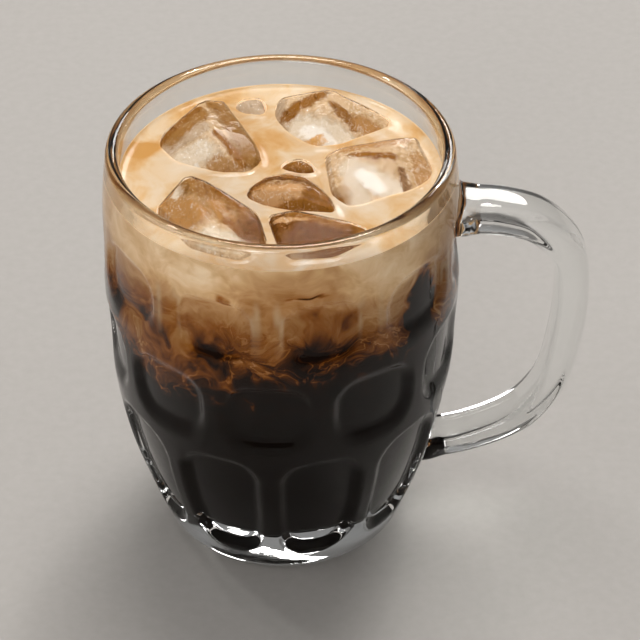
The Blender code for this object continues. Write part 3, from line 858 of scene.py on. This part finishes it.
def dimple_depth(angle, height, radius):
    """How far a dimple sinks the outer face, from 0 on a rib to its full depth inside the edge."""
    for row in DIMPLE_ROWS:
        if not row["low"] < height < row["high"]:
            continue
        centre = RIB_ANGLE + row["turn"] * PITCH
        across = (angle - centre + PITCH / 2.0) % PITCH - PITCH / 2.0
        half_width = math.radians(DIMPLE_HALF_ANGLE) * radius
        along = math.radians(across) * radius
        half_height = (row["high"] - row["low"]) / 2.0 - row["arch"] * (along / half_width) ** 2
        up = height - (row["high"] + row["low"]) / 2.0
        corner_x = abs(along) - half_width + DIMPLE_CORNER
        corner_z = abs(up) - half_height + DIMPLE_CORNER
        outside = math.hypot(max(corner_x, 0.0), max(corner_z, 0.0))
        distance = outside + min(max(corner_x, corner_z), 0.0) - DIMPLE_CORNER
        edge = DIMPLE_EDGE + (row["foot"] - DIMPLE_EDGE) * smooth_step(0.0, half_height, -up)
        return row["depth"] * smooth_step(0.0, edge, -distance)
    return 0.0


def rim_arc():
    """Half a circle over the top of the wall, from its outer face to its inner one."""
    turns = [math.pi * step / RIM_STEPS for step in range(RIM_STEPS + 1)]
    radius, height = RIM_CENTRE
    return [
        (radius + RIM_RADIUS * math.cos(turn), height + RIM_RADIUS * math.sin(turn)) for turn in turns
    ]


def build_mug(over_drink, clear):
    """The turned body with its dimples pressed in, and the handle grown out of it."""
    bm = bmesh.new()
    base = [(BASE_RADIUS * ring / 6.0, 0.0) for ring in range(6)]
    floor = [(INNER_PROFILE[-1][0] * ring / 5.0, FLOOR_HEIGHT) for ring in range(4, -1, -1)]
    wall = [tuple(place) for place in OUTER_PATH]
    inside = [tuple(place) for place in INNER_PATH if place.y < RIM_CENTRE[1] - 0.4]
    spin_profile(bm, base + wall + rim_arc() + inside + floor, MUG_COLUMNS)
    turn = Matrix.Rotation(math.radians(RIB_ANGLE), 3, "Z")
    bmesh.ops.rotate(bm, cent=(0.0, 0.0, 0.0), verts=bm.verts, matrix=turn)
    lowest, highest = DIMPLE_ROWS[0]["low"], DIMPLE_ROWS[-1]["high"]
    for vert in bm.verts:
        x, y, height = vert.co
        if not lowest < height < highest:
            continue
        radius = math.hypot(x, y)
        if radius < path_radius(INNER_PATH, height) + 1.0:
            continue
        share = 1.0 - dimple_depth(front_angle(x, y), height, radius) / radius
        vert.co.x *= share
        vert.co.y *= share
    mug = make_object("glass_mug", bm)
    handle = build_handle()
    add_boolean(mug, "UNION", handle)
    finish_modifiers(mug)
    bpy.data.objects.remove(handle)
    soften_seams(mug)
    dress(mug, over_drink, clear)
    for face in mug.data.polygons:
        x, y, height = face.center / MM
        covers = COVER_HEIGHTS[0] < height < COVER_HEIGHTS[1] and math.hypot(x, y) < COVER_RADIUS
        face.material_index = 0 if covers else 1
    return mug


def build_handle():
    """A bar with a rounded oblong section: a unit prism laid along the handle's centre line."""
    bm = bmesh.new()
    last = float(HANDLE_STATIONS)
    caps = (0.0, 0.5)
    start = [(ring, 0.0) for ring in caps]
    sides = [(1.0, float(station)) for station in range(HANDLE_STATIONS + 1)]
    end = [(ring, last) for ring in reversed(caps)]
    spin_profile(bm, start + sides + end, HANDLE_SIDES)
    line = even_path(smooth_path(HANDLE_LINE, 0.4), HANDLE_STATIONS)
    for vert in bm.verts:
        vert.co = handle_point(line, vert.co.x, vert.co.y, round(vert.co.z))
    return make_object("handle_bar", bm)


def even_path(path, pieces):
    """The path cut into pieces of the same length."""
    lengths = [0.0]
    for first, second in zip(path, path[1:]):
        lengths.append(lengths[-1] + (second - first).length)
    places = []
    index = 0
    for piece in range(pieces + 1):
        goal = lengths[-1] * piece / pieces
        while index < len(path) - 2 and lengths[index + 1] < goal:
            index += 1
        share = (goal - lengths[index]) / (lengths[index + 1] - lengths[index])
        places.append(path[index].lerp(path[index + 1], share))
    return places


def handle_point(line, across, through, station):
    """A point of the handle from its place on the unit circle and its station on the line."""
    place = line[station]
    along = line[min(station + 1, HANDLE_STATIONS)] - line[max(station - 1, 0)]
    outward = Vector((-along.y, 0.0, along.x)).normalized()
    share = station / HANDLE_STATIONS
    from_wall = place.x - path_radius(OUTER_PATH, place.y)
    foot = FOOT_GROWTH * (1.0 - smooth_step(0.0, FOOT_LENGTH, from_wall))
    width = HANDLE_WIDTH[0] + (HANDLE_WIDTH[1] - HANDLE_WIDTH[0]) * share + foot
    thickness = HANDLE_THICKNESS[0] + (HANDLE_THICKNESS[1] - HANDLE_THICKNESS[0]) * share + foot
    side, top = (squared(value) for value in (across, through))
    return Vector((place.x, side * width / 2.0, place.y)) + outward * top * thickness / 2.0


def squared(value):
    """Pushes a circle's coordinate outwards, so that the circle turns into a rounded oblong."""
    return math.copysign(abs(value) ** (2.0 / HANDLE_SQUARENESS), value)


def soften_seams(obj):
    """Rounds the creases where the handle's ends meet the wall."""
    from_x, side_y, top_z = (value * MM for value in SEAM_PLACE)
    bm = open_mesh(obj)
    bmesh.ops.remove_doubles(bm, verts=bm.verts, dist=0.00001)
    bm.normal_update()
    near = {
        vert
        for edge in bm.edges
        if edge.is_manifold and edge.calc_face_angle() > SEAM_ANGLE
        for vert in edge.verts
        if vert.co.x > from_x and abs(vert.co.y) < side_y and vert.co.z < top_z
    }
    for _ in range(SEAM_RINGS):
        near |= {edge.other_vert(vert) for vert in near for edge in vert.link_edges}
    relax(bm, list(near), SEAM_PASSES)
    close_mesh(bm, obj)


# The ice


def build_ice_block(name, material):
    """A CAD block with melted, uneven faces, on a fine even mesh."""
    bm = open_mesh(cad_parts[name])
    bmesh.ops.remove_doubles(bm, verts=bm.verts, dist=0.00001)
    block = make_object(f"{name}_clear", bm, 1.0)
    remesh = block.modifiers.new("even mesh", "REMESH")
    remesh.mode = "VOXEL"
    remesh.voxel_size = ICE_VOXEL * MM
    finish_modifiers(block)
    bm = open_mesh(block)
    relax(bm, bm.verts, ICE_PASSES)
    bm.normal_update()
    low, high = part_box(name)
    moved = []
    for vert in bm.verts:
        place = vert.co / MM
        wave = noise.noise(place * ICE_WAVE_SCALE + Vector((7.0, 3.0, 1.0)))
        ripple = noise.noise(place * ICE_RIPPLE_SCALE)
        outward = ICE_GROWTH - ICE_WAVE * wave - ICE_RIPPLE * ripple
        moved.append((vert, vert.co + vert.normal * (outward * MM)))
    for vert, place in moved:
        vert.co = Vector(
            min(max(value, least), most) for value, least, most in zip(place, low, high)
        )
    close_mesh(bm, block)
    dress(block, material)
    return block


def shrunk_copy(block, name, share, depth):
    """A coarser copy of a block, with its faces moved in by a depth in millimetres."""
    copy = bpy.data.objects.new(name, block.data.copy())
    bpy.context.scene.collection.objects.link(copy)
    decimate = copy.modifiers.new("fewer faces", "DECIMATE")
    decimate.ratio = share
    finish_modifiers(copy)
    bm = open_mesh(copy)
    bm.normal_update()
    moved = [(vert, vert.co - vert.normal * depth * MM) for vert in bm.verts]
    for vert, place in moved:
        vert.co = place
    close_mesh(bm, copy)
    return copy


def add_bubbles(blocks, material):
    """Small air bubbles below the faces of the ice that stand out of the drink."""
    rng = random.Random(BUBBLE_SEED)
    bm = bmesh.new()
    for block in blocks:
        verts = [vert for vert in block.data.vertices if vert.co.z > BUBBLE_LEVEL * MM]
        for _ in range(BUBBLES_PER_BLOCK):
            vert = rng.choice(verts)
            depth = rng.uniform(*BUBBLE_DEPTH)
            place = vert.co - vert.normal * depth * MM
            size = BUBBLE_RADIUS + BUBBLE_SPREAD * rng.random() ** 3
            stretch = Matrix.Scale(rng.uniform(*BUBBLE_STRETCH), 4, (0, 0, 1))
            matrix = Matrix.Translation(place / MM) @ stretch
            bmesh.ops.create_icosphere(bm, subdivisions=1, radius=size, matrix=matrix)
    bubbles = make_object("air_bubbles_in_ice", bm)
    dress(bubbles, material)
    return bubbles


# The drink


def blend_top(x, y, share):
    """Where the milk ends and the mixed layer starts, lower in the middle than at the wall."""
    swell = noise.noise(Vector((x, y, 10.0)) * SWELL_SCALE)
    return BLEND_TOP + BLEND_TOP_SWELL * swell - MILK_SAG * (1.0 - share * share)


def blend_bottom(x, y, share):
    """Where the mixed layer ends and the coffee starts. It hangs down at the left of the front."""
    swell = noise.noise(Vector((x, y, 40.0)) * SWELL_SCALE)
    away = (front_angle(x, y) - DROOP_ANGLE + 180.0) % 360.0 - 180.0
    droop = DROOP * share * math.exp(-((away / DROOP_SPREAD) ** 2))
    return BLEND_BOTTOM + BLEND_BOTTOM_SWELL * swell - droop


def milk_level(x, y, share):
    """The open surface, drawn up a little along the wall."""
    from_wall = (1.0 - share) * DRINK_RADIUS
    wall = MENISCUS_RISE * math.exp(-from_wall / MENISCUS_WIDTH)
    swell = MILK_SWELL * noise.noise(Vector((x, y, 3.0)) * MILK_SWELL_SCALE)
    return DRINK_LEVEL + wall + swell * (1.0 - share ** 6)


def draw_up_at_ice(milk, blocks):
    """Raises the open surface a little where it meets a block of ice."""
    trees = []
    for block in blocks:
        bm = open_mesh(block)
        trees.append(BVHTree.FromBMesh(bm))
        bm.free()
    for vert in milk.data.vertices:
        if vert.co.z < (DRINK_LEVEL - 1.0) * MM:
            continue
        away = min(tree.find_nearest(vert.co)[3] for tree in trees) / MM
        vert.co.z += ICE_MENISCUS_RISE * math.exp(-away / ICE_MENISCUS_WIDTH) * MM


def build_layer(name, lower, upper, rows, rings):
    """A layer of the drink between two height functions, reaching just into the wall."""
    bm = bmesh.new()
    bottom = [(1.0 - (1.0 - ring / rings) ** RING_CROWDING, 0.0) for ring in range(rings)]
    side = [(1.0, row / rows) for row in range(rows + 1)]
    top = [(share, 1.0) for share, _ in reversed(bottom)]
    spin_profile(bm, bottom + side + top, DRINK_COLUMNS)
    for vert in bm.verts:
        share = math.hypot(vert.co.x, vert.co.y)
        x, y = vert.co.x * DRINK_RADIUS, vert.co.y * DRINK_RADIUS
        low, high = lower(x, y, share), upper(x, y, share)
        height = low + (high - low) * vert.co.z
        radius = path_radius(INNER_PATH, height) + REACH
        vert.co = Vector((vert.co.x * radius, vert.co.y * radius, height))
    bmesh.ops.triangulate(bm, faces=bm.faces, quad_method="SHORT_EDGE")
    return make_object(name, bm, crease=LAYER_CREASE)


def build_drink(blocks):
    """Three layers up to the level of the drink, the milk hollowed out for each block of ice."""
    coffee = build_layer(
        "black_coffee",
        lambda x, y, share: FLOOR_HEIGHT - REACH,
        lambda x, y, share: blend_bottom(x, y, share) + LAYER_LAP,
        rows=60,
        rings=10,
    )
    dress(coffee, make_drink("black coffee", (0.01, 0.005, 0.003)))
    blend = build_layer(
        "coffee_mixed_with_milk",
        lambda x, y, share: blend_bottom(x, y, share) - LAYER_LAP,
        lambda x, y, share: blend_top(x, y, share) + LAYER_LAP,
        rows=16,
        rings=10,
    )
    dress(blend, make_drink("coffee mixed with milk", (0.25, 0.1, 0.03)))
    milk = build_layer(
        "milk_layer",
        lambda x, y, share: blend_top(x, y, share) - LAYER_LAP,
        milk_level,
        rows=22,
        rings=70,
    )
    under_ice = make_under_ice()
    dress(milk, make_drink("milk against glass", (0.6, 0.42, 0.24)), make_milk_top(), under_ice)
    for face in milk.data.polygons:
        height = face.center.z / MM
        inside = math.hypot(face.center.x, face.center.y) / MM < DRINK_RADIUS - 0.05
        face.material_index = 1 if inside and height > DRINK_LEVEL - 1.0 else 0
    draw_up_at_ice(milk, blocks)
    for block in blocks:
        pocket = shrunk_copy(block, "pocket", POCKET_SHARE, POCKET_SHRINK)
        dress(pocket, under_ice)
        add_boolean(milk, "DIFFERENCE", pocket)
        milk.modifiers[-1].material_mode = "TRANSFER"
        finish_modifiers(milk, LAYER_CREASE)
        bpy.data.objects.remove(pocket)
    return coffee, blend, milk


# The stage


def build_floor():
    bm = bmesh.new()
    bmesh.ops.create_grid(bm, x_segments=2, y_segments=2, size=4000.0)
    bmesh.ops.translate(bm, vec=(0.0, 0.0, -FLOOR_DROP), verts=bm.verts)
    floor = make_object("floor", bm)
    dress(floor, make_floor())


def add_lamp(name, place, size, power, colour):
    light = bpy.data.lights.new(name, "AREA")
    light.shape = "ELLIPSE"
    light.size, light.size_y = size
    light.energy = power
    light.color = colour
    lamp = bpy.data.objects.new(name, light)
    lamp.location = place
    direction = Vector(LAMP_TARGET) - Vector(place)
    lamp.rotation_euler = direction.to_track_quat("-Z", "Y").to_euler()
    bpy.context.scene.collection.objects.link(lamp)


def light_stage():
    for row in LAMPS:
        add_lamp(*row)
    world = bpy.data.worlds.new("soft room light")
    bpy.context.scene.world = world
    world.use_nodes = True
    tree = world.node_tree
    background = tree.nodes["Background"]
    direction = put(tree, "ShaderNodeTexCoord").outputs["Generated"]
    feed(tree, background, Color=ramp(tree, axes_of(tree, direction)["Z"], ROOM_SHADES), Strength=1.0)
    bpy.context.scene.view_settings.view_transform = "Standard"


def turned(first, second, degrees):
    """Two axes turned together, the first towards the second."""
    cosine, sine = math.cos(math.radians(degrees)), math.sin(math.radians(degrees))
    return first * cosine + second * sine, second * cosine - first * sine


def place_camera():
    """The camera stands in front, turned a little from its aim by yaw, pitch and roll."""
    rise = math.radians(CAMERA_ELEVATION)
    back = Vector((0.0, -math.cos(rise), math.sin(rise)))
    place = Vector(CAMERA_TARGET) + back * CAMERA_DISTANCE
    ahead, right = -back, Vector((1.0, 0.0, 0.0))
    up = right.cross(ahead)
    ahead, right = turned(ahead, right, CAMERA_YAW)
    ahead, up = turned(ahead, up, CAMERA_PITCH)
    right, up = turned(right, up, CAMERA_ROLL)
    data = bpy.data.cameras.new("camera")
    data.sensor_width = 36.0
    data.lens = CAMERA_LENS
    data.clip_start = 0.01
    camera = bpy.data.objects.new("camera", data)
    axes = Matrix((right, up, -ahead)).transposed().to_4x4()
    camera.matrix_world = Matrix.Translation(place * MM) @ axes
    bpy.context.scene.collection.objects.link(camera)
    bpy.context.scene.camera = camera


def keep(piece, slot, *nodes):
    """Ties a finished piece to the frame."""
    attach(piece, "root")
    if nodes:
        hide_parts(*nodes)


def main():
    place_camera()
    light_stage()
    build_floor()
    mug = build_mug(make_glass("glass over drink", GLASS_MIRROR_OVER_DRINK), make_glass("clear glass", 1.0))
    keep(mug, "glass", "mug")
    ice_material = make_ice()
    blocks = [build_ice_block(name, ice_material) for name in ICE_NODES]
    haze_material = make_haze()
    for name, block in zip(ICE_NODES, blocks):
        keep(block, "ice", name)
        haze = shrunk_copy(block, f"{name}_haze", HAZE_SHARE, HAZE_DEPTH)
        dress(haze, haze_material)
        keep(haze, "ice")
    keep(add_bubbles(blocks, make_bubble()), "ice")
    for piece, slot in zip(build_drink(blocks), ("coffee", "coffee_with_milk", "milk")):
        keep(piece, slot, slot)


main()
